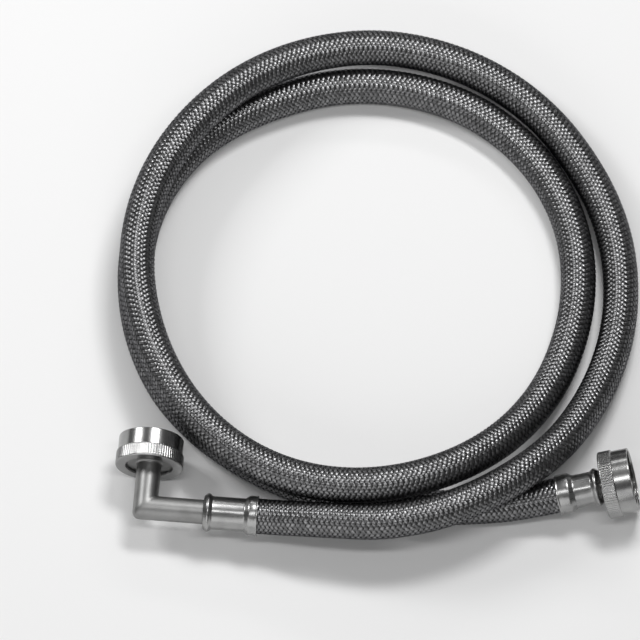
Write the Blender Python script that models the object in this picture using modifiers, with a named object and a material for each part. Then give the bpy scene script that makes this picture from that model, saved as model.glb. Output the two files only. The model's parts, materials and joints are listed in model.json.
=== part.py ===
"""Braided washing-machine supply line, coiled on a table.

A stainless-braided hose lies in two and a quarter turns. One end has a mitred elbow, the other a straight
tailpiece, and each carries a captive swivel nut with a 3/4 in. garden-hose thread.

Frame: metres, +Z up, table at z = 0, origin under the middle of the coiled part. Both nuts open away from
the hose. Fittings are turned in a local frame whose +Z runs from the hose towards the nut's mouth.
"""
import math

import bmesh
import bpy
from mathutils import Matrix, Vector

MM = 0.001

# ---------------------------------------------------------------- driving dimensions, in millimetres

CLEAR = 0.3                     # gap left between neighbouring pieces
LAYER_GAP = 0.25                # gap between the hose's layers

HOSE_R = 8.0                    # outside of the braid
BRAID_WALL = 0.5
YARN_WALL = 0.35
LINER_WALL = 1.65
CRIMP_R = 6.65                  # outside of the braid where the ferrule squeezes it

FERRULE_WALL = 0.5
FERRULE_BARREL_R = 7.5
FERRULE_MOUTH_R = 9.05
FERRULE_BEAD_R = 8.7
FERRULE_BEAD = 4.0              # length of the rounded bead at the fitting's end
FERRULE_SLOPE = 2.0             # length of the cone between mouth and barrel
FERRULE_EDGE = 0.3              # rounding where the bead meets the end wall
HOSE_STOP = 3.0                 # the hose ends this far short of the ferrule's end
SQUEEZE = 2.0                   # length over which the crimp narrows the hose
SQUEEZE_LEAD = 0.6              # of which this much is outside the ferrule's slope
ELBOW_MOUTH, ELBOW_BARREL = 5.9, 14.4
STRAIGHT_MOUTH, STRAIGHT_BARREL = 7.8, 8.0

TUBE_R = 5.5                    # outside of the elbow's tube
TUBE_BORE_R = 4.5
TAIL_R = 3.4                    # tips of the barbs inside the hose
TAIL_ROOT_R = 3.05
TAIL_BORE_R = 2.7
BARB_PITCH = 3.0
TAIL_TIP = 2.5                  # from the ferrule's mouth to the tail's tip
TAIL_STOP = 1.6                 # barbs end this far short of the ferrule's end
SHANK = 5.0                     # reach of the elbow's tail into the arm
ARM_REACH = 1.2                 # reach of the arm into the ferrule
BORE_TAPER = 2.0                # length over which the straight tail's bore widens

NUT_R = 14.55                   # smooth band, by the mouth
KNURL_R = 15.2
KNURL_BAND = 6.3
NUT_LENGTH = 13.6
NUT_HOLE_R = 10.6               # hole in the nut's back, round the tube
NUT_BACK = 1.2
THREAD_MAJOR_R = 13.6           # 3/4 in. garden hose thread, internal
THREAD_MINOR_R = 12.2
THREAD_PITCH = 25.4 / 11.5
THREAD_TURNS = 3
THREAD_START = 5.6              # first ridge, from the nut's back

FLANGE_R = 11.9
FLANGE = 1.2
FLARE = 1.0                     # fillet between tube and flange
SINK = 0.5                      # joined shapes run this far into each other, and cutters further
WASHER = 2.4
WASHER_R, WASHER_HOLE_R = 11.85, 7.6

STEM_FREE = 19.5                # elbow's corner to the nut's back
ARM_FREE = 26.2                 # elbow's corner to the ferrule
ELBOW_YAW = -4.75               # degrees: arm and stem, both turned about +Z
ELBOW_CORNER = Vector((-103.6, -112.7, 15.25))

STRAIGHT_MOUTH_AT = Vector((81.0, -105.1, 11.25))
STRAIGHT_YAW, STRAIGHT_PITCH = 8.4, 10.0
STRAIGHT_NECK = 1.2             # ferrule's end to the nut's back

LEAD_ELBOW = 34.0               # free hose that bends away from the coil at each end
LEAD_STRAIGHT = 36.0
COIL_STEP = 22.0                # spacing of the coil's sections
LEAD_STEP = 7.0
SQUARE_END = 1.5                # last section beside a cut, short so that both sides face each other squarely

COIL_MIDDLE = Vector((0.45, -5.3, 0.0))   # middle of the whole part, measured from the centre of the lay

# Lay of the hose between its two mouths, seen from above: clock angle in degrees, counted from +X, with the
# distance from the centre and the height of the hose's axis in millimetres. Low strands lie on the table at
# the hose's radius, and high ones rest on them.
LOW = HOSE_R
HIGH = 25.0
LAY = [
    (-102, 123.5, 20.6), (-90, 123.0, 23.4), (-75, 121.6, 25.0), (-60, 119.3, 25.0), (-50, 117.5, 21.0),
    (-40, 115.0, 15.8), (-30, 113.0, 12.0), (-15, 111.2, 8.9),
    (0, 110.0, LOW), (15, 109.4, LOW), (30, 109.0, 8.4), (45, 109.9, 9.8), (60, 111.0, 11.6),
    (75, 111.9, 13.2), (90, 112.2, 15.6), (105, 111.2, 18.8), (120, 110.0, 22.2), (135, 108.9, 24.7),
    (150, 108.6, HIGH), (165, 108.3, HIGH), (180, 107.7, HIGH), (195, 107.3, HIGH), (210, 107.8, HIGH),
    (225, 108.7, HIGH), (240, 108.9, HIGH), (255, 107.8, HIGH), (270, 105.5, HIGH), (285, 102.8, 24.2),
    (300, 99.0, 19.0), (315, 95.2, 12.6), (330, 92.5, 9.0), (345, 91.0, LOW), (360, 91.0, LOW),
    (375, 91.6, LOW), (390, 92.4, LOW), (405, 93.3, LOW), (420, 94.3, LOW), (450, 96.4, LOW),
    (465, 98.0, LOW), (480, 100.2, LOW), (495, 104.6, LOW), (510, 107.6, LOW), (525, 108.9, LOW),
    (540, 108.7, LOW), (555, 108.4, LOW), (570, 107.8, LOW), (585, 106.0, LOW), (600, 104.7, LOW),
    (620, 106.2, LOW), (635, 110.0, LOW), (646, 114.0, LOW), (657, 122.0, 8.6),
]

ROUND = 32                      # facets round a nut
TURNED = 24                     # facets round a smaller fitting
BEAD_STEPS = 6                  # chords along a bead's arc

# ---------------------------------------------------------------- scene, materials and basic shapes

for old in list(bpy.data.objects):
    bpy.data.objects.remove(old, do_unlink=True)

parts = bpy.data.collections.new("braided_supply_line")
cutters = bpy.data.collections.new("cutters")
for group in (parts, cutters):
    bpy.context.scene.collection.children.link(group)


def material(name, colour, roughness, metallic):
    made = bpy.data.materials.new(name)
    made.use_nodes = True
    shader = made.node_tree.nodes["Principled BSDF"]
    shader.inputs["Base Color"].default_value = (*colour, 1.0)
    shader.inputs["Roughness"].default_value = roughness
    shader.inputs["Metallic"].default_value = metallic
    return made


BRAID_STEEL = material("braid_steel", (0.34, 0.34, 0.35), 0.38, 1.0)
NUT_STEEL = material("nut_steel", (0.62, 0.62, 0.62), 0.22, 1.0)
TUBE_STEEL = material("tube_steel", (0.56, 0.56, 0.56), 0.28, 1.0)
FERRULE_STEEL = material("ferrule_steel", (0.52, 0.52, 0.52), 0.30, 1.0)
TAIL_STEEL = material("tail_steel", (0.45, 0.45, 0.44), 0.35, 1.0)
LINER_PVC = material("liner_pvc", (0.82, 0.82, 0.78), 0.45, 0.0)
YARN = material("yarn", (0.05, 0.05, 0.05), 0.85, 0.0)
WASHER_RUBBER = material("washer_rubber", (0.05, 0.05, 0.05), 0.75, 0.0)


def place(name, data, at, group, finish):
    """A new object with its frame at a matrix given in metres."""
    made = bpy.data.objects.new(name, data)
    made.matrix_world = at
    group.objects.link(made)
    if finish:
        data.materials.append(finish)
    return made


def as_cutter(made):
    made.hide_render = True
    made.display_type = "WIRE"
    return made


def turned(name, profile, at, finish, facets):
    """A ring turned about local Z. Its profile, (radius, height) in mm, runs down the outside, up the bore."""
    mesh = bpy.data.meshes.new(name)
    corners = [(radius * MM, 0.0, height * MM) for radius, height in profile]
    edges = [(i, (i + 1) % len(corners)) for i in range(len(corners))]
    mesh.from_pydata(corners, edges, [])
    made = place(name, mesh, at, parts, finish)
    screw = made.modifiers.new("turn", "SCREW")
    screw.axis = "Z"
    screw.steps = screw.render_steps = facets
    screw.use_merge_vertices = True
    screw.merge_threshold = 1e-6
    screw.use_smooth_shade = True
    return made


def frame_at(point, yaw, pitch=0.0):
    """Frame in metres with local +Z along a heading: yaw about +Z from +X, pitch upwards, in degrees."""
    heading = Vector((math.cos(math.radians(pitch)) * math.cos(math.radians(yaw)),
                      math.cos(math.radians(pitch)) * math.sin(math.radians(yaw)),
                      math.sin(math.radians(pitch))))
    turn = heading.to_track_quat("Z", "Y").to_matrix().to_4x4()
    return Matrix.Translation((point - COIL_MIDDLE) * MM) @ turn


def along(frame, distance):
    """The same frame, moved along its own +Z by a distance in mm."""
    return frame @ Matrix.Translation((0.0, 0.0, distance * MM))


# ---------------------------------------------------------------- where each end's fittings stand

ARM_HEADING = Vector((math.cos(math.radians(ELBOW_YAW)), math.sin(math.radians(ELBOW_YAW)), 0.0))
ELBOW_FERRULE = ELBOW_MOUTH + ELBOW_BARREL + FERRULE_BEAD
STRAIGHT_FERRULE = STRAIGHT_MOUTH + STRAIGHT_BARREL + FERRULE_BEAD
ELBOW_MOUTH_AT = ELBOW_CORNER + ARM_HEADING * (ARM_FREE + ELBOW_FERRULE)

elbow_mouth = frame_at(ELBOW_MOUTH_AT, ELBOW_YAW + 180.0)
elbow_nut_back = along(frame_at(ELBOW_CORNER, ELBOW_YAW + 90.0), STEM_FREE)
straight_mouth = frame_at(STRAIGHT_MOUTH_AT, STRAIGHT_YAW, STRAIGHT_PITCH)
straight_nut_back = along(straight_mouth, STRAIGHT_FERRULE + STRAIGHT_NECK)


def heading_of(frame):
    return (frame.to_3x3() @ Vector((0.0, 0.0, 1.0))).normalized()


# ---------------------------------------------------------------- fittings

def thread_ridges():
    """Ridges that stand for the thread, from the first one upwards."""
    flank, crest = 0.8, 0.4
    ridges = []
    for turn in range(THREAD_TURNS):
        foot = THREAD_START + turn * THREAD_PITCH
        ridges += [(THREAD_MAJOR_R, foot), (THREAD_MINOR_R, foot + flank),
                   (THREAD_MINOR_R, foot + flank + crest), (THREAD_MAJOR_R, foot + 2 * flank + crest)]
    return ridges


def swivel_nut(name, at):
    edge = 0.4
    outside = [(NUT_R - edge, NUT_LENGTH), (NUT_R, NUT_LENGTH - edge), (NUT_R, KNURL_BAND + edge),
               (KNURL_R - edge, KNURL_BAND), (KNURL_R, KNURL_BAND - edge), (KNURL_R, edge),
               (KNURL_R - edge, 0.0)]
    inside = [(NUT_HOLE_R, 0.0), (NUT_HOLE_R, NUT_BACK), (THREAD_MAJOR_R, NUT_BACK)]
    return turned(name, outside + inside + thread_ridges() + [(THREAD_MAJOR_R, NUT_LENGTH)],
                  at, NUT_STEEL, ROUND)


def washer(name, nut_back):
    low = NUT_BACK + FLANGE + 2 * CLEAR
    high = low + WASHER
    return turned(name, [(WASHER_R, high), (WASHER_R, low), (WASHER_HOLE_R, low), (WASHER_HOLE_R, high)],
                  nut_back, WASHER_RUBBER, TURNED)


def ferrule(name, at, mouth, barrel, hole_r):
    """Crimped sleeve: flared mouth over the hose, barrel, bead, and an end wall round the tube."""
    def skin(inset):
        """The sleeve's outline, moved in by the wall or not at all: mouth first."""
        bead = mouth + barrel
        swell = FERRULE_BEAD_R - FERRULE_BARREL_R
        shares = [k / BEAD_STEPS for k in range(1, BEAD_STEPS)]
        arc = [(FERRULE_BARREL_R + swell * math.sin(math.pi * share), bead + FERRULE_BEAD * share)
               for share in shares]
        line = [(FERRULE_MOUTH_R, 0.0), (FERRULE_MOUTH_R, mouth - FERRULE_SLOPE),
                (FERRULE_BARREL_R, mouth), (FERRULE_BARREL_R, bead)] + arc
        return [(radius - inset, height) for radius, height in line]

    end = mouth + barrel + FERRULE_BEAD
    outside = skin(0.0) + [(FERRULE_BARREL_R - FERRULE_EDGE, end)]
    inside = skin(FERRULE_WALL)
    inside[-1] = (FERRULE_BARREL_R - FERRULE_WALL, end - FERRULE_WALL)
    wall = [(hole_r, end - FERRULE_WALL), (hole_r, end)]
    return turned(name, outside[::-1] + inside + wall, at, FERRULE_STEEL, TURNED)


def barbs(first, last):
    """Saw-tooth outside of a tail between two heights, from the higher one down."""
    land = 0.2
    teeth = max(1, round((last - first) / BARB_PITCH))
    pitch = (last - first) / teeth
    line = []
    for tooth in range(teeth):
        top = last - tooth * pitch
        line += [(TAIL_R, top - land), (TAIL_ROOT_R, top - pitch + land)]
    return line


def elbow_insert():
    """Barbed tail: a shank inside the arm's bore, and barbs inside the hose."""
    end = ELBOW_FERRULE
    shank_r = TUBE_BORE_R - CLEAR
    outside = [(shank_r, end + SHANK), (shank_r, end - TAIL_STOP)] + barbs(TAIL_TIP, end - TAIL_STOP)
    inside = [(TAIL_ROOT_R, TAIL_TIP), (TAIL_BORE_R, TAIL_TIP), (TAIL_BORE_R, end + SHANK)]
    return turned("elbow_insert", outside + inside, elbow_mouth, TAIL_STEEL, TURNED)


def straight_tailpiece():
    """Flanged tube: a flange inside the nut, a neck through its back, and barbs inside the hose."""
    end = STRAIGHT_FERRULE
    flange_back = end + STRAIGHT_NECK + NUT_BACK + CLEAR
    flange_front = flange_back + FLANGE
    outside = [(FLANGE_R, flange_front), (FLANGE_R, flange_back), (TUBE_R + FLARE, flange_back),
               (TUBE_R, flange_back - FLARE), (TUBE_R, end - TAIL_STOP), (TAIL_ROOT_R, end - TAIL_STOP)]
    outside += barbs(TAIL_TIP, end - TAIL_STOP - SINK)
    inside = [(TAIL_ROOT_R, TAIL_TIP), (TAIL_BORE_R, TAIL_TIP), (TAIL_BORE_R, end),
              (TUBE_BORE_R, end + BORE_TAPER), (TUBE_BORE_R, flange_front)]
    return turned("straight_tailpiece", outside + inside, straight_mouth, TAIL_STEEL, TURNED)


def mitred(name, radius, arm, stem):
    """Solid bar along local +X (arm) and +Y (stem), mitred where they meet. Lengths in mm."""
    shape = bmesh.new()
    mitre = Vector((1.0, -1.0, 0.0)).normalized()
    lying = Matrix.Rotation(math.pi / 2, 4, "Y") @ Matrix.Rotation(math.pi / TURNED, 4, "Z")
    swap = Matrix(((0, 1, 0, 0), (1, 0, 0, 0), (0, 0, 1, 0), (0, 0, 0, 1)))
    for length, mirrored in ((arm, False), (stem, True)):
        limb = bmesh.new()
        back = 3 * radius
        middle = Matrix.Translation(((length - back) / 2 * MM, 0.0, 0.0))
        bmesh.ops.create_cone(limb, cap_ends=True, segments=TURNED, radius1=radius * MM, radius2=radius * MM,
                              depth=(length + back) * MM, matrix=middle @ lying)
        bmesh.ops.bisect_plane(limb, geom=limb.verts[:] + limb.edges[:] + limb.faces[:],
                               plane_co=(0.0, 0.0, 0.0), plane_no=mitre, clear_inner=True)
        if mirrored:
            limb.transform(swap)
            bmesh.ops.reverse_faces(limb, faces=limb.faces[:])
        half = bpy.data.meshes.new(name)
        limb.to_mesh(half)
        limb.free()
        shape.from_mesh(half)
        bpy.data.meshes.remove(half)
    bmesh.ops.remove_doubles(shape, verts=shape.verts[:], dist=1e-6)
    mesh = bpy.data.meshes.new(name)
    shape.to_mesh(mesh)
    shape.free()
    return mesh


def disc(name, low, high, radius_low, radius_high):
    """Solid cone frustum along local +Y, between two heights in mm."""
    shape = bmesh.new()
    upright = Matrix.Rotation(-math.pi / 2, 4, "X")
    middle = Matrix.Translation((0.0, (low + high) / 2 * MM, 0.0))
    bmesh.ops.create_cone(shape, cap_ends=True, segments=TURNED, radius1=radius_low * MM,
                          radius2=radius_high * MM, depth=(high - low) * MM, matrix=middle @ upright)
    mesh = bpy.data.meshes.new(name)
    shape.to_mesh(mesh)
    shape.free()
    return mesh


def boolean(made, operation, tool):
    cut = made.modifiers.new(operation.lower(), "BOOLEAN")
    cut.operation = operation
    cut.solver = "EXACT"
    cut.object = as_cutter(tool)


def elbow_tube():
    """Mitred tube with a flange that the nut is captive behind."""
    at = Matrix.Translation((ELBOW_CORNER - COIL_MIDDLE) * MM) @ Matrix.Rotation(
        math.radians(ELBOW_YAW), 4, "Z")
    flange_back = STEM_FREE + NUT_BACK + CLEAR
    front = flange_back + FLANGE
    arm = ARM_FREE + ARM_REACH
    made = place("elbow_tube", mitred("elbow_tube", TUBE_R, arm, front - SINK), at, parts, TUBE_STEEL)
    flange = place("elbow_flange", disc("elbow_flange", flange_back, front, FLANGE_R, FLANGE_R), at,
                   cutters, None)
    flare = place("elbow_flare", disc("elbow_flare", flange_back - FLARE, flange_back + SINK,
                                      TUBE_R - SINK / 2, TUBE_R + FLARE + SINK), at, cutters, None)
    bore = place("elbow_bore", mitred("elbow_bore", TUBE_BORE_R, arm + 4 * SINK, front + 4 * SINK), at,
                 cutters, None)
    boolean(made, "UNION", flange)
    boolean(made, "UNION", flare)
    boolean(made, "DIFFERENCE", bore)
    return made


# ---------------------------------------------------------------- the hose's path

def stations():
    """Points of the lay, mouth to mouth, in mm."""
    middle = [Vector((radius * math.cos(math.radians(angle)), radius * math.sin(math.radians(angle)), height))
              for angle, radius, height in LAY]
    return [ELBOW_MOUTH_AT.copy()] + middle + [STRAIGHT_MOUTH_AT.copy()]


def smooth_path(points, first, last, per_span=24):
    """Dense points of a smooth curve through given ones, leaving and arriving along two unit headings."""
    spans = [(b - a).length for a, b in zip(points, points[1:])]
    slopes = [first]
    for i in range(1, len(points) - 1):
        before = (points[i] - points[i - 1]) / spans[i - 1]
        after = (points[i + 1] - points[i]) / spans[i]
        slopes.append((before * spans[i] + after * spans[i - 1]) / (spans[i] + spans[i - 1]))
    slopes.append(last)
    dense = []
    for i, span in enumerate(spans):
        for k in range(per_span):
            t = k / per_span
            dense.append(points[i] * (2 * t**3 - 3 * t**2 + 1) + slopes[i] * (span * (t**3 - 2 * t**2 + t))
                         + points[i + 1] * (3 * t**2 - 2 * t**3) + slopes[i + 1] * (span * (t**3 - t**2)))
    dense.append(points[-1].copy())
    return dense


class Path:
    """The hose's centreline, asked for by the length of hose from the elbow's mouth."""

    def __init__(self, points):
        self.points = points
        self.runs = [0.0]
        for a, b in zip(points, points[1:]):
            self.runs.append(self.runs[-1] + (b - a).length)
        self.length = self.runs[-1]

    def at(self, run):
        """A point in mm. Beyond either mouth the hose runs straight on, inside its ferrule."""
        if run <= 0.0:
            return self.points[0] - heading_of(elbow_mouth) * run
        if run >= self.length:
            return self.points[-1] + heading_of(straight_mouth) * (run - self.length)
        low, high = 0, len(self.runs) - 1
        while high - low > 1:
            mid = (low + high) // 2
            low, high = (mid, high) if self.runs[mid] <= run else (low, mid)
        share = (run - self.runs[low]) / (self.runs[high] - self.runs[low])
        return self.points[low].lerp(self.points[high], share)


def even(start, stop, step):
    count = max(1, round((stop - start) / step))
    return [start + (stop - start) * k / count for k in range(count + 1)]


hose = Path(smooth_path(stations(), -heading_of(elbow_mouth), heading_of(straight_mouth)))

# layer: free radius, crimped radius, wall, finish
YARN_R = HOSE_R - BRAID_WALL - LAYER_GAP
LINER_R = YARN_R - YARN_WALL - LAYER_GAP
YARN_CRIMP_R = CRIMP_R - BRAID_WALL - LAYER_GAP
LINER_CRIMP_R = YARN_CRIMP_R - YARN_WALL - LAYER_GAP
LAYERS = {
    "braid": (HOSE_R, CRIMP_R, BRAID_WALL, BRAID_STEEL),
    "yarn": (YARN_R, YARN_CRIMP_R, YARN_WALL, YARN),
    "liner": (LINER_R, LINER_CRIMP_R, LINER_WALL, LINER_PVC),
}


def sleeve(name, runs, squeezed, layer):
    """Open tube along a stretch of hose. squeezed(run) is true where a ferrule grips it."""
    free_r, crimp_r, wall, finish = layer
    curve = bpy.data.curves.new(name, "CURVE")
    curve.dimensions = "3D"
    curve.bevel_depth = free_r * MM
    curve.bevel_resolution = 2
    curve.use_fill_caps = False
    line = curve.splines.new("POLY")
    line.points.add(len(runs) - 1)
    for point, run in zip(line.points, runs):
        point.co = (*((hose.at(run) - COIL_MIDDLE) * MM), 1.0)
        point.radius = crimp_r / free_r if squeezed(run) else 1.0
    made = place(name, curve, Matrix.Identity(4), parts, finish)
    solid = made.modifiers.new("wall", "SOLIDIFY")
    solid.thickness = wall * MM
    solid.offset = -1.0
    return made


def hose_layers():
    """Every layer of the coil and of both leads."""
    elbow_cut = LEAD_ELBOW
    straight_cut = hose.length - LEAD_STRAIGHT
    grip_1 = ELBOW_MOUTH - FERRULE_SLOPE
    grip_2 = STRAIGHT_MOUTH - FERRULE_SLOPE
    inside_1 = ELBOW_FERRULE - HOSE_STOP
    inside_2 = STRAIGHT_FERRULE - HOSE_STOP
    near = CLEAR / 2
    square = near + SQUARE_END
    coil = ([elbow_cut + near] + even(elbow_cut + square, straight_cut - square, COIL_STEP)
            + [straight_cut - near])
    elbow = ([-inside_1, -grip_1 + SQUEEZE_LEAD - SQUEEZE, -grip_1 + SQUEEZE_LEAD]
             + even(0.0, elbow_cut - square, LEAD_STEP) + [elbow_cut - near])
    end = hose.length
    straight = ([straight_cut + near] + even(straight_cut + square, end, LEAD_STEP)
                + [end + grip_2 - SQUEEZE_LEAD, end + grip_2 - SQUEEZE_LEAD + SQUEEZE, end + inside_2])
    for kind, layer in LAYERS.items():
        sleeve(kind + "_coil", coil, lambda run: False, layer)
        sleeve(kind + "_elbow_lead", elbow, lambda run: run < -grip_1, layer)
        sleeve(kind + "_straight_lead", straight, lambda run: run > end + grip_2, layer)


# ---------------------------------------------------------------- assembly

swivel_nut("elbow_nut", elbow_nut_back)
washer("elbow_washer", elbow_nut_back)
elbow_tube()
elbow_insert()
ferrule("elbow_ferrule", elbow_mouth, ELBOW_MOUTH, ELBOW_BARREL, TUBE_R + CLEAR)

swivel_nut("straight_nut", straight_nut_back)
washer("straight_washer", straight_nut_back)
straight_tailpiece()
ferrule("straight_ferrule", straight_mouth, STRAIGHT_MOUTH, STRAIGHT_BARREL, TUBE_R + CLEAR)

hose_layers()
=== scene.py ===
"""Looks of the braided supply line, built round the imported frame.

The hose's axis is read back from the frame's own hose sections. Round it goes a real weave: flat bands of
fine wire in both directions, each passing over one and under one. The fittings are turned, knurled, threaded
and mitred surfaces whose sizes and places are measured on the frame's nodes. Lengths are in millimetres, and
only the finished points are turned into metres. The studio is laid out in metres.
"""
import json
import math

import bpy
import numpy as np
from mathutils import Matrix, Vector


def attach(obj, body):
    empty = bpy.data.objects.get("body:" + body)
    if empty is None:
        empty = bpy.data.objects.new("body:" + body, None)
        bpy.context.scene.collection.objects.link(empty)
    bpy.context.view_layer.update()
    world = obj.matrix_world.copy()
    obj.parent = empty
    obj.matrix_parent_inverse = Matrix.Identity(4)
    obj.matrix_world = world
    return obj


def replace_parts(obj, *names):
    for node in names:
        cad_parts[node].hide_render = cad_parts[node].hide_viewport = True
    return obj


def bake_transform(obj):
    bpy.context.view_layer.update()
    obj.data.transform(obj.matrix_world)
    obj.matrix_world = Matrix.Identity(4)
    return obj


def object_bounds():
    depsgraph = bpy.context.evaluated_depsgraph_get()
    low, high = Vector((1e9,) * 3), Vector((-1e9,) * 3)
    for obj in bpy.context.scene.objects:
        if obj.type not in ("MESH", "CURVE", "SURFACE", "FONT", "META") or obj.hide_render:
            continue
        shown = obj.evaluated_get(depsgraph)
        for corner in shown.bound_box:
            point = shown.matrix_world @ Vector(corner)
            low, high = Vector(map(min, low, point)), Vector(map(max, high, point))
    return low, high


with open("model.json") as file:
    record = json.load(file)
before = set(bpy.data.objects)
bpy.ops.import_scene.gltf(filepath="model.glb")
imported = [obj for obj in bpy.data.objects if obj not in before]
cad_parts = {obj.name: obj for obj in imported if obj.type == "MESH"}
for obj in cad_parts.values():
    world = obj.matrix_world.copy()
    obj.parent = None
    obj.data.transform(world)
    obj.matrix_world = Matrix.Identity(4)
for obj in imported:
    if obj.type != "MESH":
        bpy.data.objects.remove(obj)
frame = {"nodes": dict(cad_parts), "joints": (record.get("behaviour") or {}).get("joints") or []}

cad_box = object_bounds()
MM = 0.001

# ---------------------------------------------------------------- the weave, in millimetres

BANDS = 12                      # bands of wire in each direction
CROSSINGS = 2 * BANDS           # crossings that a band makes in one turn
LAY = 27.2                      # hose length in which a band goes once round
WIRES = 7                       # wires side by side in one band
BAND_WIDTH = 1.36
BAND_RISE = 0.17                # a band's swing above and below the middle of the weave
BAND_EDGE = 0.15                # how far a band's edges curl down
FLOAT = 1.4                     # how flat a band lies where it passes over another
STEPS_PER_CROSSING = 4
LAYS_APART = 4                  # from one band's texture coordinates to the next one's
BACKING_DEPTH = 0.60            # from the outside of the braid to the yarn beneath
YARN_WALL = 0.4
LINER_WALL = 1.6
PIECE_BLEND = 25.0              # hose past each hinge that is made as part of the end's piece
COIL_PIECES = 4

# ---------------------------------------------------------------- small tools


def unit(vectors):
    """Vectors of length one, along the last axis."""
    return vectors / np.linalg.norm(vectors, axis=-1, keepdims=True)


def joint(name):
    return next(j for j in frame["joints"] if j["name"] == name)


def node_points(name):
    """A frame node's different corners, in mm, and the pairs of them that share an edge."""
    mesh = frame["nodes"][name].data
    points = np.array([v.co for v in mesh.vertices]) / MM
    grid, index = np.unique(np.round(points, 3), axis=0, return_inverse=True)
    index = index.reshape(-1)
    edges = np.array([index[list(e.vertices)] for e in mesh.edges])
    return grid, edges


def mesh_from_grid(name, points, closed_rows, closed_columns, finish, uv=None):
    """One mesh from a stack of grids of points, in mm, with quads between neighbours.

    points has the shape (grids, rows, columns, 3).
    """
    grids, rows, columns = points.shape[:3]
    index = np.arange(grids * rows * columns).reshape(grids, rows, columns)
    down = np.roll(index, -1, axis=1) if closed_rows else index[:, 1:]
    here = index if closed_rows else index[:, :-1]

    def beside(block):
        return np.roll(block, -1, axis=2) if closed_columns else block[:, :, 1:]

    def first(block):
        return block if closed_columns else block[:, :, :-1]

    quads = np.stack([first(here), first(down), beside(down), beside(here)], axis=-1).reshape(-1, 4)
    mesh = bpy.data.meshes.new(name)
    mesh.from_pydata((points.reshape(-1, 3) * MM).tolist(), [], quads.tolist())
    mesh.shade_smooth()
    if uv is not None:
        layer = mesh.uv_layers.new(name="along")
        layer.data.foreach_set("uv", uv.reshape(-1, 2)[quads.reshape(-1)].astype(np.float32).ravel())
    mesh.materials.append(finish)
    made = bpy.data.objects.new(name, mesh)
    bpy.context.scene.collection.objects.link(made)
    return made


# ---------------------------------------------------------------- materials


def new_material(name, colour, roughness, metallic=1.0):
    made = bpy.data.materials.new(name)
    made.use_nodes = True
    shader = made.node_tree.nodes["Principled BSDF"]
    shader.inputs["Base Color"].default_value = (*colour, 1.0)
    shader.inputs["Roughness"].default_value = roughness
    shader.inputs["Metallic"].default_value = metallic
    return made, made.node_tree, shader


def add(tree, kind, **settings):
    node = tree.nodes.new(kind)
    for key, value in settings.items():
        setattr(node, key, value)
    return node


def noise(tree, source, scale, detail, stretch=(1.0, 1.0, 1.0)):
    """Noise on a coordinate output, stretched along each axis."""
    mapping = add(tree, "ShaderNodeMapping")
    mapping.inputs["Scale"].default_value = stretch
    texture = add(tree, "ShaderNodeTexNoise")
    texture.inputs["Scale"].default_value = scale
    texture.inputs["Detail"].default_value = detail
    tree.links.new(source, mapping.inputs["Vector"])
    tree.links.new(mapping.outputs["Vector"], texture.inputs["Vector"])
    return texture.outputs["Fac"]


def maths(tree, operation, first, second=None):
    """One Math node. Its second input is a number or another node's output."""
    node = add(tree, "ShaderNodeMath", operation=operation)
    tree.links.new(first, node.inputs[0])
    if isinstance(second, float):
        node.inputs[1].default_value = second
    elif second is not None:
        tree.links.new(second, node.inputs[1])
    return node.outputs["Value"]


def spread(tree, factor, low, high, start=0.0, end=1.0):
    """A factor from start to end, taken to the range from low to high and held there."""
    node = add(tree, "ShaderNodeMapRange")
    node.inputs["From Min"].default_value = start
    node.inputs["From Max"].default_value = end
    node.inputs["To Min"].default_value = low
    node.inputs["To Max"].default_value = high
    tree.links.new(factor, node.inputs["Value"])
    return node.outputs["Result"]


def tint(tree, factor, dark, light, shader):
    """Base colour between two colours."""
    ramp = add(tree, "ShaderNodeValToRGB")
    ramp.color_ramp.elements[0].position = 0.3
    ramp.color_ramp.elements[1].position = 0.7
    ramp.color_ramp.elements[0].color = (*dark, 1.0)
    ramp.color_ramp.elements[1].color = (*light, 1.0)
    tree.links.new(factor, ramp.inputs["Fac"])
    tree.links.new(ramp.outputs["Color"], shader.inputs["Base Color"])


def relief(tree, height, distance, shader, strength=1.0):
    """Bump of a real depth in metres."""
    bump = add(tree, "ShaderNodeBump")
    bump.inputs["Strength"].default_value = strength
    bump.inputs["Distance"].default_value = distance
    tree.links.new(height, bump.inputs["Height"])
    tree.links.new(bump.outputs["Normal"], shader.inputs["Normal"])


def braid_wire():
    """Bands of fine drawn wire, with painted shade darkening them where they dive under one another.

    The wires run along the band, so highlights spread out across it.
    """
    made, tree, shader = new_material("braid_wire", (0.17, 0.17, 0.174), 0.33)
    place = add(tree, "ShaderNodeTexCoord").outputs["UV"]
    split = add(tree, "ShaderNodeSeparateXYZ")
    tree.links.new(place, split.inputs["Vector"])
    wires = maths(tree, "SINE", maths(tree, "MULTIPLY", split.outputs["X"], WIRES * math.pi))
    relief(tree, maths(tree, "ABSOLUTE", wires), 0.00002, shader, 0.2)
    swing = maths(tree, "COSINE", maths(tree, "MULTIPLY", split.outputs["Y"], CROSSINGS * math.pi / LAY))
    cloud = noise(tree, place, 1.0, 1.0, (0.8, 0.12, 1.0))
    # painted shade: the base colour darkens towards where a band dives under another, standing in for the
    # shadow there; the noise adds random tone
    tone_and_painted_shade = maths(tree, "MULTIPLY", cloud, spread(tree, swing, 0.0, 1.0, -0.2, 0.5))
    tint(tree, tone_and_painted_shade, (0.11, 0.11, 0.112), (0.285, 0.285, 0.29), shader)
    shader.inputs["Anisotropic"].default_value = 0.5
    shader.inputs["Specular Tint"].default_value = (0.35, 0.35, 0.36, 1.0)
    along = add(tree, "ShaderNodeTangent", direction_type="UV_MAP", uv_map="along")
    tree.links.new(along.outputs["Tangent"], shader.inputs["Tangent"])
    return made


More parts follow.
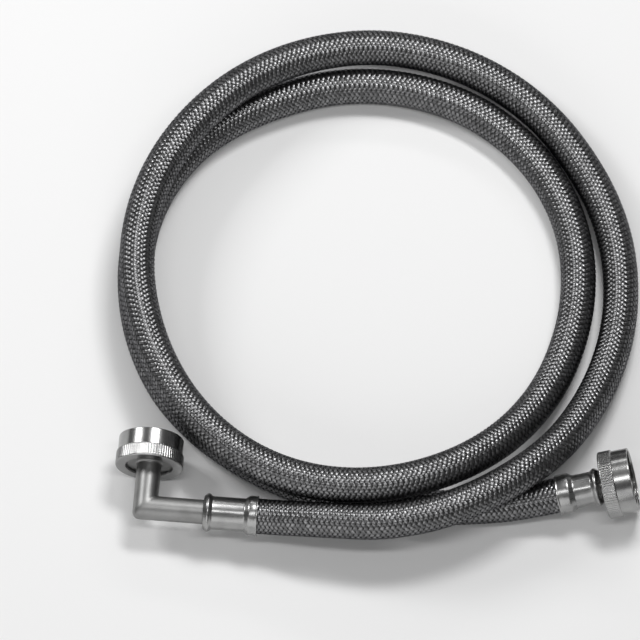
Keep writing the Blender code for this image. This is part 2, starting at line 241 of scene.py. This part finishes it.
def turned_steel(name, dark, light, low, high, stretch):
    """Steel with fine marks from turning or drawing. stretch sets which way along the surface they run."""
    made, tree, shader = new_material(name, light, (low + high) / 2)
    place = add(tree, "ShaderNodeTexCoord").outputs["UV"]
    marks = noise(tree, place, 1.0, 4.0, stretch)
    cloud = noise(tree, add(tree, "ShaderNodeTexCoord").outputs["Object"], 130.0, 3.0)
    tint(tree, cloud, dark, light, shader)
    tree.links.new(spread(tree, marks, low, high), shader.inputs["Roughness"])
    relief(tree, marks, 0.000012, shader, 0.5)
    return made


def rubber():
    made, tree, shader = new_material("black_rubber", (0.03, 0.03, 0.03), 0.7, 0.0)
    place = add(tree, "ShaderNodeTexCoord").outputs["Object"]
    grain = noise(tree, place, 2200.0, 3.0)
    tint(tree, noise(tree, place, 260.0, 2.0), (0.022, 0.022, 0.022), (0.045, 0.045, 0.044), shader)
    tree.links.new(spread(tree, grain, 0.6, 0.85), shader.inputs["Roughness"])
    relief(tree, grain, 0.00004, shader, 0.6)
    return made


def yarn():
    """Yarn laid slantwise under the braid, seen only through the gaps of the weave. Its near-black colour is
    painted shade, standing in for the shadow in those gaps.
    """
    made, tree, shader = new_material("yarn_painted_shade", (0.02, 0.02, 0.02), 0.9, 0.0)
    place = add(tree, "ShaderNodeTexCoord").outputs["UV"]
    strands = noise(tree, place, 1.0, 2.0, (40.0, 1.5, 1.0))
    # painted shade: the yarn is kept near-black so the gaps of the weave look shadowed; the noise gives its
    # strands
    tint(tree, strands, (0.010, 0.010, 0.010), (0.035, 0.034, 0.033), shader)
    relief(tree, strands, 0.0001, shader, 0.7)
    return made


def liner():
    made, tree, shader = new_material("liner_tube", (0.80, 0.80, 0.76), 0.45, 0.0)
    cloud = noise(tree, add(tree, "ShaderNodeTexCoord").outputs["Object"], 90.0, 3.0)
    tint(tree, cloud, (0.76, 0.76, 0.71), (0.84, 0.84, 0.80), shader)
    tree.links.new(spread(tree, cloud, 0.38, 0.52), shader.inputs["Roughness"])
    return made


BRAID = braid_wire()
PAINTED_SHADE_YARN = yarn()
LINER = liner()
NUT = turned_steel("nut_polished", (0.29, 0.29, 0.29), (0.37, 0.37, 0.365), 0.19, 0.28, (2.0, 9.0, 1.0))
TUBE = turned_steel("tube_satin", (0.24, 0.24, 0.237), (0.30, 0.30, 0.297), 0.38, 0.52, (60.0, 0.12, 1.0))
FERRULE = turned_steel("ferrule_satin", (0.28, 0.28, 0.28), (0.38, 0.38, 0.375), 0.22, 0.36,
                       (70.0, 0.2, 1.0))
TAIL = turned_steel("tail_turned", (0.22, 0.22, 0.215), (0.34, 0.34, 0.33), 0.22, 0.34, (2.0, 8.0, 1.0))
RUBBER = rubber()

# ---------------------------------------------------------------- the hose's axis, read from the frame

SAME_PLANE = 0.3                # how far a section's corners may be from its plane
SECTION_REACH = 12.0            # and from the joint that the section lies at
STOP_GAP = 4.0                  # sections nearer together than this aren't both used for the axis


def sections(name, start):
    """Centres and radii of a frame tube's sections, in order, from the end nearest a point.

    Every section is one ring of corners, and edges join only neighbouring sections, so the rings come out as
    the steps of a walk over the edges.
    """
    points, edges = node_points(name)
    away = np.linalg.norm(points - start, axis=1)
    nearest = points[away < away.min() + 0.02]
    square = np.linalg.svd(nearest - nearest.mean(axis=0))[2][-1]
    from_plane = np.abs((points - nearest.mean(axis=0)) @ square)
    level = np.where((from_plane < SAME_PLANE) & (away < SECTION_REACH), 0, -1)
    step = 0
    while (level < 0).any():
        for a, b in (edges.T, edges.T[::-1]):
            reached = b[(level[a] == step) & (level[b] < 0)]
            level[reached] = step + 1
        step += 1
    rings = [points[level == k] for k in range(step + 1)]
    centres = np.array([ring.mean(axis=0) for ring in rings])
    radii = np.array([np.linalg.norm(ring - centre, axis=1).max() for ring, centre in zip(rings, centres)])
    return centres, radii


def smooth_line(stops, spacing=1.0):
    """Points of a smooth curve through given ones, about evenly spaced."""
    spans = np.linalg.norm(np.diff(stops, axis=0), axis=1)
    chords = np.diff(stops, axis=0) / spans[:, None]
    inner = chords[:-1] * spans[1:, None] + chords[1:] * spans[:-1, None]
    inner = inner / (spans[1:] + spans[:-1])[:, None]
    slopes = np.vstack([chords[:1], inner, chords[-1:]])
    dense = []
    for i, span in enumerate(spans):
        t = np.linspace(0.0, 1.0, max(2, round(span / spacing)) + 1)[:-1, None]
        dense.append(stops[i] * (2 * t**3 - 3 * t**2 + 1) + slopes[i] * span * (t**3 - 2 * t**2 + t)
                     + stops[i + 1] * (3 * t**2 - 2 * t**3) + slopes[i + 1] * span * (t**3 - t**2))
    return np.vstack(dense + [stops[-1:]])


class Hose:
    """The hose's axis, radius and a frame that doesn't twist, by the length run from its elbow end."""

    def __init__(self):
        elbow_cut = np.array(joint("elbow_bend")["pos_m"]) / MM
        straight_cut = np.array(joint("straight_bend")["pos_m"]) / MM
        lead_1, radii_1 = sections("braid_elbow_lead", elbow_cut)
        coil, radii_2 = sections("braid_coil", elbow_cut)
        lead_2, radii_3 = sections("braid_straight_lead", straight_cut)
        centres = np.vstack([lead_1[::-1], coil, lead_2])
        radii = np.concatenate([radii_1[::-1], radii_2, radii_3])
        stops = [centres[0]]
        for centre in centres[1:-1]:
            if min(np.linalg.norm(centre - stops[-1]), np.linalg.norm(centre - centres[-1])) > STOP_GAP:
                stops.append(centre)
        self.points = smooth_line(np.array(stops + [centres[-1]]))
        steps = np.linalg.norm(np.diff(self.points, axis=0), axis=1)
        self.runs = np.concatenate([[0.0], np.cumsum(steps)])
        self.length = self.runs[-1]
        self.tangents = unit(np.gradient(self.points, self.runs, axis=0))
        side = unit(np.cross(self.tangents[0], [0.0, 0.0, 1.0]))
        sides = []
        for tangent in self.tangents:
            side = unit(side - tangent * (side @ tangent))
            sides.append(side)
        self.sides = np.array(sides)
        ring_runs = np.array([self.nearest(centre) for centre in centres])
        order = np.argsort(ring_runs)
        self.ring_runs, self.ring_radii = ring_runs[order], radii[order]
        self.elbow_cut, self.straight_cut = self.nearest(elbow_cut), self.nearest(straight_cut)

    def nearest(self, point):
        """The run at which the axis passes nearest a point."""
        return self.runs[np.linalg.norm(self.points - point, axis=1).argmin()]

    def pick(self, values, run):
        """Points, tangents or sides at any run."""
        return np.stack([np.interp(run, self.runs, values[:, k]) for k in range(3)], axis=-1)

    def radius(self, run):
        return np.interp(run, self.ring_runs, self.ring_radii)

    def surface(self, run, angle, radius):
        """Points at an angle round the axis and a distance from it. The three are arrays of one shape."""
        tangent, side = unit(self.pick(self.tangents, run)), unit(self.pick(self.sides, run))
        third = np.cross(tangent, side)
        outward = side * np.cos(angle)[..., None] + third * np.sin(angle)[..., None]
        return self.pick(self.points, run) + outward * radius[..., None]


hose = Hose()

# ---------------------------------------------------------------- the hose


def weave(name, first, last):
    """The braid between two runs: bands in both directions, each over one and under one."""
    count = round((last - first) / LAY * CROSSINGS * STEPS_PER_CROSSING)
    run = np.linspace(first, last, count + 1)
    slant = math.atan2(2 * math.pi * hose.ring_radii.max(), LAY)
    across = np.array([-1.0, -0.4, 0.4, 1.0])
    curl = -BAND_EDGE * across**2
    grids, coordinates = [], []
    for direction in (1, -1):
        for band in range(BANDS):
            turn = 2 * math.pi * (band / BANDS + direction * run / LAY)
            swing = direction * np.cos(math.pi * CROSSINGS * run / LAY)
            swing = np.tanh(FLOAT * swing) / math.tanh(FLOAT)
            offset = across[None, :] * BAND_WIDTH / 2
            here = run[:, None] - direction * math.sin(slant) * offset
            outside = hose.radius(here)
            angle = turn[:, None] + math.cos(slant) * offset / outside
            height = outside - BAND_RISE + BAND_RISE * swing[:, None] + curl[None, :]
            grids.append(hose.surface(here, angle, height))
            # whole lays set the bands apart in the noise, and one crossing more keeps the swing's sign
            along = run + direction * (band + 1) * LAYS_APART * LAY
            along = along + (LAY / CROSSINGS if direction < 0 else 0.0)
            sideways = (across[None, :] + 1) / 2
            coordinates.append(np.stack(np.broadcast_arrays(sideways, along[:, None]), axis=-1))
    return mesh_from_grid(name, np.array(grids), False, False, BRAID, np.array(coordinates))


def tube(name, first, last, depth, wall, finish, sides=40, step=2.5):
    """A closed sleeve under the braid: outside, end, inside, end."""
    run = np.linspace(first, last, max(2, round((last - first) / step)) + 1)
    angle = np.arange(sides) / sides * 2 * math.pi
    loop = np.concatenate([run, run[::-1]])
    inset = np.concatenate([np.full(len(run), depth), np.full(len(run), depth + wall)])
    here, turn = np.meshgrid(loop, angle, indexing="ij")
    points = hose.surface(here, turn, hose.radius(here) - inset[:, None])
    uv = np.stack([turn / (2 * math.pi), here], axis=-1)
    return mesh_from_grid(name, points[None], True, True, finish, uv[None])


def bends(piece):
    """A piece of hose at one end, with its placement baked into its points."""
    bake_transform(piece)


def make_hose():
    """Every layer, as lengths of coil and one length at each end."""
    first, last = hose.elbow_cut + PIECE_BLEND, hose.straight_cut - PIECE_BLEND
    marks = np.linspace(first, last, COIL_PIECES + 1)
    layers = (("braid", "braid_steel", weave, ()),
              ("yarn", "yarn", tube, (BACKING_DEPTH, YARN_WALL, PAINTED_SHADE_YARN)),
              ("liner", "liner_pvc", tube, (BACKING_DEPTH + YARN_WALL, LINER_WALL, LINER)))
    for layer, slot, make, settings in layers:
        for k in range(COIL_PIECES):
            piece = make(f"{layer}_coil_{k + 1}", marks[k], marks[k + 1], *settings)
            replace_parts(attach(piece, "coil"), f"{layer}_coil")
        elbow_bend = make(f"{layer}_elbow_bend", 0.0, first, *settings)
        bends(elbow_bend)
        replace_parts(elbow_bend, f"{layer}_elbow_lead")
        straight_bend = make(f"{layer}_straight_bend", last, hose.length, *settings)
        bends(straight_bend)
        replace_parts(straight_bend, f"{layer}_straight_lead")


# ---------------------------------------------------------------- turned fittings

ROUND = 96                      # facets round a plain turned piece


def rounded(corners, steps=5):
    """A closed profile with its corners rounded. A corner is (radius, height, rounding), in mm."""
    line = []
    for i, (r, z, rounding) in enumerate(corners):
        here = np.array([r, z])
        before = np.array(corners[i - 1][:2]) - here
        after = np.array(corners[(i + 1) % len(corners)][:2]) - here
        reach = min(rounding, 0.45 * np.linalg.norm(before), 0.45 * np.linalg.norm(after))
        if reach < 1e-6:
            line.append(here)
            continue
        start, end = here + unit(before) * reach, here + unit(after) * reach
        for t in np.linspace(0.0, 1.0, steps):
            line.append(start * (1 - t)**2 + here * 2 * t * (1 - t) + end * t**2)
    return np.array(line)


def axes_of(direction):
    """Two unit vectors square to a direction."""
    side = unit(np.cross(direction, [0.0, 0.0, 1.0]))
    return side, np.cross(direction, side)


def revolve(name, profile, origin, direction, finish, facets, reshape=None):
    """A closed ring turned about an axis.

    reshape(angle, radius, height) may change the radius, as a knurl does.
    """
    side, third = axes_of(direction)
    angle = np.arange(facets) / facets * 2 * math.pi
    radius, turn = np.meshgrid(profile[:, 0], angle, indexing="ij")
    height = np.broadcast_to(profile[:, 1:2], radius.shape)
    if reshape:
        radius = reshape(turn, radius, height)
    outward = side * np.cos(turn)[..., None] + third * np.sin(turn)[..., None]
    points = origin + outward * radius[..., None] + direction * height[..., None]
    lengths = np.linalg.norm(np.diff(profile, axis=0, append=profile[:1]), axis=1)
    along = np.concatenate([[0.0], np.cumsum(lengths)[:-1]])
    uv = np.stack(np.broadcast_arrays(turn / (2 * math.pi), along[:, None]), axis=-1)
    return mesh_from_grid(name, points[None], True, True, finish, uv[None])


def corners_about(name, origin, direction):
    """(radius, height) of a node's corners about an axis, in mm."""
    points, _ = node_points(name)
    height = (points - origin) @ direction
    radius = np.linalg.norm(points - origin - height[:, None] * direction, axis=1)
    return radius, height


def swivel(name):
    hinge = joint(name)
    return np.array(hinge["pos_m"]) / MM, unit(np.array(hinge["axis"], float))


TEETH = 80
GROOVE = 0.28                   # depth of the grooves between the teeth
GROOVE_FLANK = 0.3              # share of a tooth that each side of a groove takes
FACETS_PER_TOOTH = 5
THREAD_FLANK = 0.33             # share of a thread's pitch that each flank takes
THREAD_ROW = 0.16               # height of one row of the thread's faces


def nut(end):
    """Swivel nut: knurled band, smooth band, helical thread inside, hole in the back."""
    origin, direction = swivel(end + "_swivel")
    radius, height = corners_about(end + "_nut", origin, direction)
    top = height.max()
    knurl_r = radius.max()
    smooth_r = radius[height > 0.6 * top].max()
    band = height[radius > (knurl_r + smooth_r) / 2].max() + 0.2
    hole_r = radius.min()
    back = height[radius < hole_r + 0.05].max()
    crest_r = radius[height > 0.4 * top].min()
    root_r = radius[height > top - 0.01].min()
    on_crest = (radius < crest_r + 0.02) & (height > back + 1)
    crests = np.unique(np.round(height[on_crest], 1))       # both edges of each ridge's flat top
    pitch = (crests[-1] - crests[1]) / (len(crests) / 2 - 1)
    thread_low, thread_high = crests[0] - 0.9 * pitch, top - 0.5

    wall = [(root_r, z, 0.0) for z in np.arange(top - 0.8, thread_low - 0.3, -THREAD_ROW)]
    knurl = [(knurl_r, z, 0.0) for z in (0.5, 0.9, 0.5 * band, band - 0.7, band - 0.3)]
    corners = ([(root_r, top, 0.35), (smooth_r, top, 0.35), (smooth_r, band + 0.1, 0.08),
                (knurl_r - 0.2, band, 0.06), (knurl_r - 0.1, band - 0.15, 0.05)] + knurl[::-1]
               + [(knurl_r - 0.1, 0.35, 0.05), (knurl_r - 0.35, 0.0, 0.12), (hole_r, 0.0, 0.25),
                  (hole_r, back, 0.15), (root_r, back, 0.4)] + wall[::-1])
    profile = rounded(corners)

    def reshape(turn, r, z):
        share = turn * TEETH / (2 * math.pi) % 1.0
        groove = np.clip(1 - np.minimum(share, 1 - share) / GROOVE_FLANK, 0.0, 1.0)
        knurled = (r > knurl_r - 0.02) & (z > 0.4) & (z < band - 0.2)
        r = r - np.where(knurled, GROOVE * groove, 0.0)
        phase = ((z - thread_low) / pitch - turn / (2 * math.pi)) % 1.0
        ridge = np.clip(np.minimum(phase, 1 - phase) / THREAD_FLANK - 0.5, 0.0, 1.0)
        ends = np.clip((z - thread_low) / pitch, 0, 1) * np.clip((thread_high - z) / (0.6 * pitch), 0, 1)
        threaded = (np.abs(r - root_r) < 0.01) & (z > thread_low) & (z < thread_high)
        return r - np.where(threaded, (root_r - crest_r) * ridge * ends, 0.0)

    facets = TEETH * FACETS_PER_TOOTH
    piece = revolve(end + "_nut_knurled", profile, origin, direction, NUT, facets, reshape)
    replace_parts(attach(piece, end + "_nut"), end + "_nut")


def washer(end):
    origin, direction = swivel(end + "_swivel")
    radius, height = corners_about(end + "_washer", origin, direction)
    low, high, out, hole = height.min(), height.max(), radius.max(), radius.min()
    corners = [(out, high, 0.35), (out, low, 0.35), (hole, low, 0.35), (hole, high, 0.35)]
    piece = revolve(end + "_washer_ring", rounded(corners), origin, direction, RUBBER, ROUND)
    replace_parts(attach(piece, end + "_washer"), end + "_washer")


FERRULE_INSIDE = 7.1            # radius between a ferrule's hole and its outer corners
JAWS = 12                       # crimping jaws that leave their marks on a ferrule
JAW_MARK = 0.05
FACETS_PER_JAW = 12
FERRULE_WALL = 0.5


def outline_of(name, origin, direction):
    """Outer corners of a ferrule, from its mouth along the axis, and the radius of its hole."""
    radius, height = corners_about(name, origin, direction)
    levels = np.unique(np.round(height, 2))
    outer = [(radius[np.abs(height - z) < 0.02].max(), z) for z in levels]
    return [(r, z) for r, z in outer if r > FERRULE_INSIDE], radius.min()


def ferrule(end, origin, direction):
    """Crimped sleeve: rolled lip, flared mouth, cone, barrel with jaw marks, bead and end wall."""
    outer, hole_r = outline_of(end + "_ferrule", origin, direction)
    mouth_r, (barrel_r, barrel) = outer[0][0], outer[2]
    slope, stop, finish = outer[1][1], outer[3][1], outer[-1][1]
    bead_r = max(r for r, z in outer if z > stop)
    bead = [(barrel_r + (bead_r - barrel_r) * math.sin(math.pi * t)**1.5, stop + (finish - stop) * t, 0.0)
            for t in np.linspace(0.06, 0.94, 17)]
    barrel_line = [(barrel_r, z, 0.0) for z in np.linspace(stop - 0.8, barrel + 0.8, 5)]
    corners = ([(hole_r, finish, 0.1), (barrel_r - 0.1, finish, 0.15)] + bead[::-1]
               + [(barrel_r, stop, 0.3)] + barrel_line
               + [(barrel_r, barrel, 0.5), (mouth_r - 0.12, slope, 0.6), (mouth_r - 0.05, 0.5 * slope, 0.6),
                  (mouth_r - 0.14, 0.9, 0.3), (mouth_r, 0.5, 0.2), (mouth_r, 0.0, 0.2),
                  (mouth_r - FERRULE_WALL, 0.0, 0.2), (mouth_r - FERRULE_WALL, slope, 0.3),
                  (barrel_r - FERRULE_WALL, barrel, 0.3),
                  (barrel_r - FERRULE_WALL, finish - FERRULE_WALL, 0.2),
                  (hole_r, finish - FERRULE_WALL, 0.1)])

    def reshape(turn, r, z):
        gripped = np.clip((z - barrel) / 0.8, 0, 1) * np.clip((stop - z) / 0.8, 0, 1) * (r > barrel_r - 0.2)
        return r - gripped * JAW_MARK * (1 + np.cos(JAWS * turn)) / 2

    facets = JAWS * FACETS_PER_JAW
    piece = revolve(end + "_ferrule_crimped", rounded(corners), origin, direction, FERRULE, facets, reshape)
    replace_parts(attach(piece, end + "_end"), end + "_ferrule")


def hose_mouth(end):
    """Where a ferrule's mouth is, and the way from it to the fitting."""
    run = 0.0 if end == "elbow" else hose.length
    inner = hose.pick(hose.points, np.array(run))
    heading = hose.pick(hose.tangents, np.array(run)) * (-1 if end == "elbow" else 1)
    heading = unit(heading)
    _, height = corners_about(end + "_ferrule", inner, heading)
    return inner + heading * height.min(), heading


ELBOW_ROUNDING = 3.2            # on the outside of the elbow's corner
ELBOW_INSIDE = 0.25             # the same on its inside, which is all but sharp
MITRE_ROOM = 3.0                # from the corner's inside to the straight part of the arm and of the stem
BORE_ROOM = 2.0                 # the same for the bore
FLARE = 1.0                     # fillet between a tube and its flange


def elbow():
    """Mitred tube from the ferrule to the nut, with a flare and a flange inside the nut: one closed surface.

    Each of its lines runs along the arm, turns at the mitre and goes on along the stem.
    """
    seat, stem = swivel("elbow_swivel")
    mouth, away = hose_mouth("elbow")
    corner = seat - stem * ((seat - mouth) @ stem)
    stem_r, stem_at = corners_about("elbow_tube", corner, stem)
    front = stem_at.max()
    flange_r = stem_r[stem_at > front - 0.1].max()
    flange_back = stem_at[(stem_r > flange_r - 0.1) & (stem_at < front - 0.1)].max()
    arm_r, arm_at = corners_about("elbow_tube", corner, -away)
    arm = arm_at.max()
    tube_r, bore_r = arm_r[arm_at > arm - 0.1].max(), arm_r[arm_at > arm - 0.1].min()
    up = np.cross(-away, stem)
    phi = np.arange(ROUND) / ROUND * 2 * math.pi
    outward, upward = np.cos(phi), np.sin(phi)

    def limb(along, sideways, distances, radius):
        """Rings round the arm or the stem, at distances from the corner."""
        rim = sideways * outward[:, None] + up * upward[:, None]
        radii = np.broadcast_to(radius, len(distances))
        return np.array([corner + along * distance + rim * r for distance, r in zip(distances, radii)])

    def turn(radius):
        """Rings of the mitre, from the arm to the stem."""
        reach = (ELBOW_INSIDE + ELBOW_ROUNDING * (1 - outward) / 2)[:, None]
        middle = corner + (-away + stem) * (radius * outward)[:, None] + up * (radius * upward)[:, None]
        return np.array([middle - away * reach * (1 - t)**2 + stem * reach * t**2
                         for t in np.linspace(0, 1, 9)])

    arm_line = np.linspace(arm, tube_r + MITRE_ROOM, 12)
    flare = np.linspace(0.0, math.pi / 2, 7)
    stem_line = np.concatenate([np.linspace(tube_r + MITRE_ROOM, flange_back - FLARE - 0.4, 6),
                                flange_back - FLARE + FLARE * np.sin(flare)])
    stem_radii = np.concatenate([np.full(6, tube_r), tube_r + FLARE * (1 - np.cos(flare))])
    flange = rounded([(tube_r + FLARE + 0.3, flange_back, 0.0), (flange_r, flange_back, 0.3),
                      (flange_r, front, 0.3), (bore_r + 0.2, front, 0.3), (bore_r, front - 0.5, 0.2),
                      (bore_r, front - 2.0, 0.0)])
    rows = np.concatenate([
        limb(-away, stem, arm_line, tube_r), turn(tube_r),
        limb(stem, -away, stem_line, stem_radii), limb(stem, -away, flange[:, 1], flange[:, 0]),
        limb(stem, -away, [bore_r + BORE_ROOM], bore_r),
        turn(bore_r)[::-1], limb(-away, stem, [bore_r + BORE_ROOM, arm], bore_r)])
    steps = np.linalg.norm(np.diff(rows, axis=0, prepend=rows[:1]), axis=2)
    uv = np.stack(np.broadcast_arrays(phi / (2 * math.pi), np.cumsum(steps, axis=0)), axis=-1)
    piece = mesh_from_grid("elbow_tube_mitred", rows[None], True, True, TUBE, uv[None])
    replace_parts(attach(piece, "elbow_end"), "elbow_tube")


def outline(name, origin, direction):
    """The closed outline a turned node was made from, as (radius, height) in mm, in order."""
    radius, height = corners_about(name, origin, direction)
    corners, ring = [], []
    for spot in np.stack([radius, height], axis=1):
        near = [k for k, corner in enumerate(corners) if np.abs(corner - spot).max() < 0.03]
        ring.append(near[0] if near else len(corners))
        if not near:
            corners.append(spot)
    pairs = np.array(ring)[node_points(name)[1]]
    order = [0]
    while len(order) < len(corners):
        touching = np.concatenate([pairs[pairs[:, 0] == order[-1], 1], pairs[pairs[:, 1] == order[-1], 0]])
        order.append(next(k for k in touching if k not in order))
    return np.array(corners)[order]


def turned_piece(node, end, finish, rounding):
    """A turned node with rounder sides and rounded corners."""
    origin, direction = hose_mouth(end)
    corners = [(r, z, rounding) for r, z in outline(node, origin, direction)]
    piece = revolve(node + "_turned", rounded(corners), origin, direction, finish, ROUND)
    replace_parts(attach(piece, end + "_end"), node)


# ---------------------------------------------------------------- build

make_hose()
for end in ("elbow", "straight"):
    nut(end)
    washer(end)
    ferrule(end, *hose_mouth(end))
elbow()
turned_piece("elbow_insert", "elbow", TAIL, 0.15)
turned_piece("straight_tailpiece", "straight", TAIL, 0.3)

# ---------------------------------------------------------------- floor, light and camera

FLOOR_RADIUS = 6.0              # in metres
FLOOR_GAP = 0.0002              # in metres, between the floor and the part
LAMP_DISTANCE = 1.2             # in metres, from the middle of the part
AIM_LEFT = 0.0259               # in metres, from the middle of the part to the middle of the picture
AIM_FRONT = 0.0133
AIM_HEIGHT = 0.0081             # in metres, above the floor
CAMERA_DISTANCE = 6.4           # in metres
CAMERA_ELEVATION = 67.0         # in degrees, above the floor
LENS = 800.0                    # in mm


def studio():
    """Pale floor, softboxes overhead, left and behind, a wide dim fill at the front left, and camera."""
    low, high = cad_box
    middle = (low + high) / 2
    bpy.ops.mesh.primitive_circle_add(vertices=96, radius=FLOOR_RADIUS, fill_type="NGON",
                                      location=(0.0, 0.0, -FLOOR_GAP))
    floor = bpy.context.object
    floor.name = "floor"
    floor.data.materials.append(new_material("paper", (0.84, 0.84, 0.84), 0.9, 0.0)[0])

    world = bpy.data.worlds.new("studio")
    world.use_nodes = True
    world.node_tree.nodes["Background"].inputs["Color"].default_value = (1.0, 1.0, 1.0, 1.0)
    world.node_tree.nodes["Background"].inputs["Strength"].default_value = 0.11
    bpy.context.scene.world = world

    # name: the way to the light (right, back, up), width and height in metres, brightness
    lamps = {
        "overhead": ((0.20, 0.41, 0.90), 0.45, 0.20, 25.0),
        "left": ((-0.68, 0.39, 0.61), 0.28, 0.40, 13.0),
        "strip": ((0.0, -0.24, 0.97), 1.0, 0.12, 9.0),
        "back": ((0.1, 0.83, 0.56), 0.8, 0.10, 5.0),
        "front_fill": ((-0.35, -0.86, 0.37), 1.7, 0.9, 1.15),
    }
    for name, (way, width, tall, brightness) in lamps.items():
        light = bpy.data.lights.new(name, "AREA")
        light.shape = "RECTANGLE"
        light.size, light.size_y = width, tall
        light.energy = brightness * math.pi * width * tall
        made = bpy.data.objects.new(name, light)
        made.location = middle + Vector(way).normalized() * LAMP_DISTANCE
        made.rotation_mode = "QUATERNION"
        made.rotation_quaternion = (-Vector(way)).to_track_quat("-Z", "Y")
        bpy.context.scene.collection.objects.link(made)

    elevation = math.radians(CAMERA_ELEVATION)
    back = Vector((0.0, -math.cos(elevation), math.sin(elevation)))
    look_at = Vector((middle.x - AIM_LEFT, middle.y - AIM_FRONT, AIM_HEIGHT))
    camera = bpy.data.cameras.new("camera")
    camera.lens, camera.sensor_width = LENS, 36.0
    made = bpy.data.objects.new("camera", camera)
    made.location = look_at + back * CAMERA_DISTANCE
    made.rotation_mode = "QUATERNION"
    made.rotation_quaternion = (-back).to_track_quat("-Z", "Y")
    bpy.context.scene.collection.objects.link(made)
    bpy.context.scene.camera = made
    bpy.context.scene.view_settings.view_transform = "Standard"


studio()
